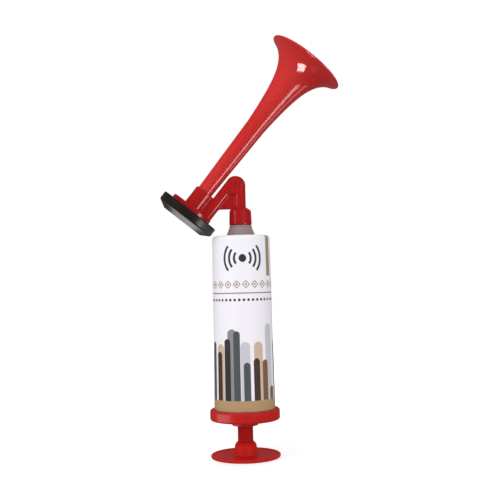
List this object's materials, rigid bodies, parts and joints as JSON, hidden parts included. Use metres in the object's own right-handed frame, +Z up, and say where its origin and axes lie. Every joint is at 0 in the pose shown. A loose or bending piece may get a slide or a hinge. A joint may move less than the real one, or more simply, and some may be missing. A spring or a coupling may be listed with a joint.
{
  "type": "hand pump air horn",
  "caption": "Hand-pumped stadium horn: pump barrel with a wrapped label, plunger with a disc handle, elbow, diaphragm chamber with a bevelled cap, and a slanted flared trumpet.",
  "frame": {"origin": "centre of the handle disc's flat underside, on the pump axis, where the horn stands", "axes": "+Z up along the pump axis, +X towards the trumpet's mouth, +Y square to the plane of symmetry"},
  "size_m": [0.1042, 0.047, 0.2407],
  "materials": {
    "red_plastic": "glossy moulded",
    "barrel_grey": "satin moulded",
    "label_print": "printed film, satin",
    "white_plastic": "moulded",
    "seal_rubber": "matt, lightly greased",
    "film": "thin stretched film",
    "grey_plastic": "moulded",
    "black_plastic": "satin moulded"
  },
  "bodies": {
    "barrel": {"pump_barrel": "barrel_grey", "label_sleeve": "label_print", "end_cap": "red_plastic"},
    "piston": {"piston_head": "white_plastic"},
    "plunger": {"plunger_rod": "red_plastic", "handle": "red_plastic"},
    "seal": {"seal_ring": "seal_rubber"},
    "horn": {"horn_body": "red_plastic", "trumpet": "red_plastic", "diaphragm": "film", "diaphragm_ring": "grey_plastic", "diaphragm_cap": "black_plastic"}
  },
  "joints": [
    {"name": "plunger_slide", "type": "slide", "parent": "barrel", "child": "piston", "axis": [0, 0, -1], "range_m": [0, 0.0825]},
    {"name": "plunger_spin", "type": "hinge", "parent": "piston", "child": "plunger", "pos_m": [0, 0, 0.1057], "axis": [0, 0, 1], "continuous": true},
    {"name": "seal_float", "type": "slide", "parent": "piston", "child": "seal", "axis": [0, 0, 1], "range_m": [0, 0.001]},
    {"name": "horn_swivel", "type": "hinge", "parent": "barrel", "child": "horn", "pos_m": [0, 0, 0.1321], "axis": [0, 0, 1], "continuous": true}
  ]
}
